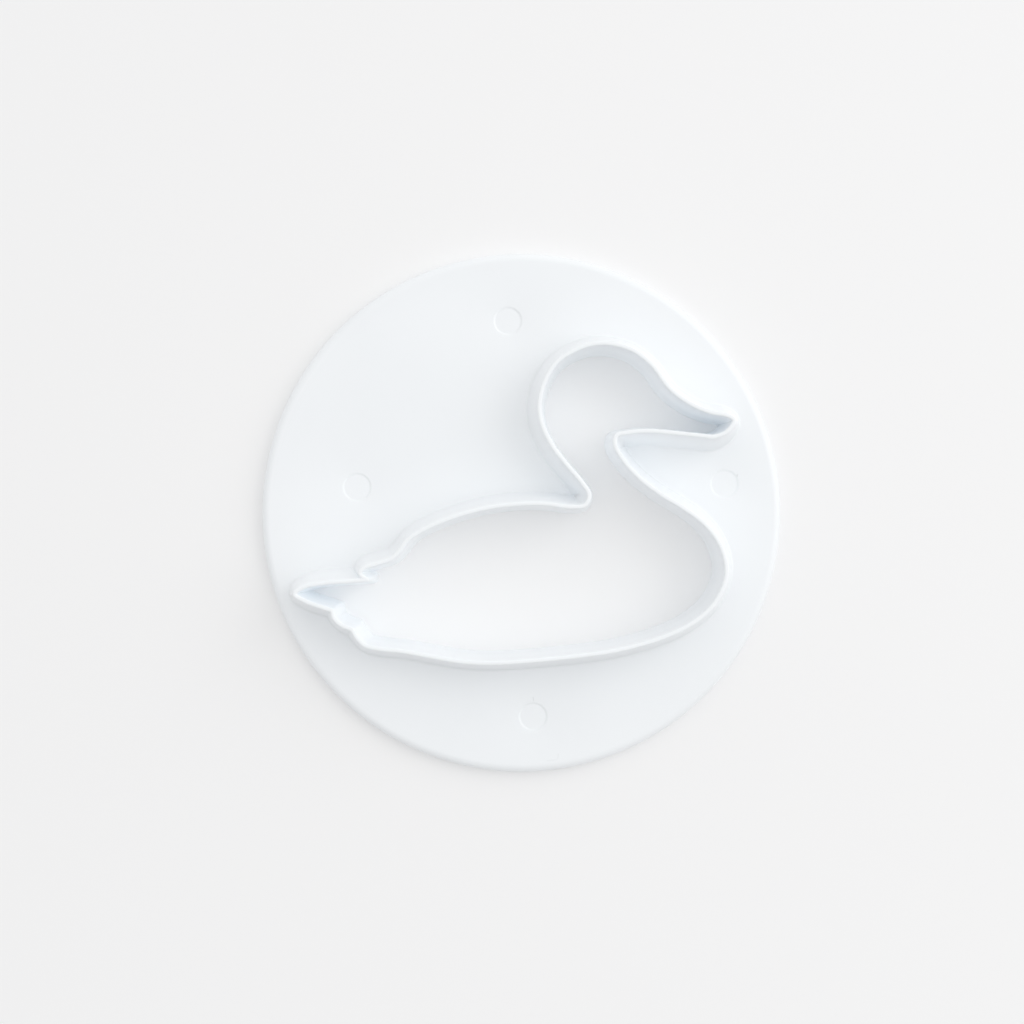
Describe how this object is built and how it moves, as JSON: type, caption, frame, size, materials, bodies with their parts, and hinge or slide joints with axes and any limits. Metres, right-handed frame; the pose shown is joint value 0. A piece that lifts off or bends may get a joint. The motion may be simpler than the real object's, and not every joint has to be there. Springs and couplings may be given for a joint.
{
  "type": "fondant cutter",
  "caption": "Round moulded press plate carrying a tapered duck-shaped cutting wall, open right through, for cutting rolled icing.",
  "frame": {"origin": "centre of the round plate, on its flat back", "axes": "+Z towards the cutting rim, +X the way the duck faces, +Y towards the duck's head"},
  "size_m": [0.1052, 0.1052, 0.0125],
  "materials": {
    "plate_plastic": "satin white with a faint cool tint",
    "wall_plastic": "satin white with a faint cool tint"
  },
  "bodies": {
    "root": {"press_plate": "plate_plastic", "cutter_wall": "wall_plastic"}
  },
  "joints": []
}
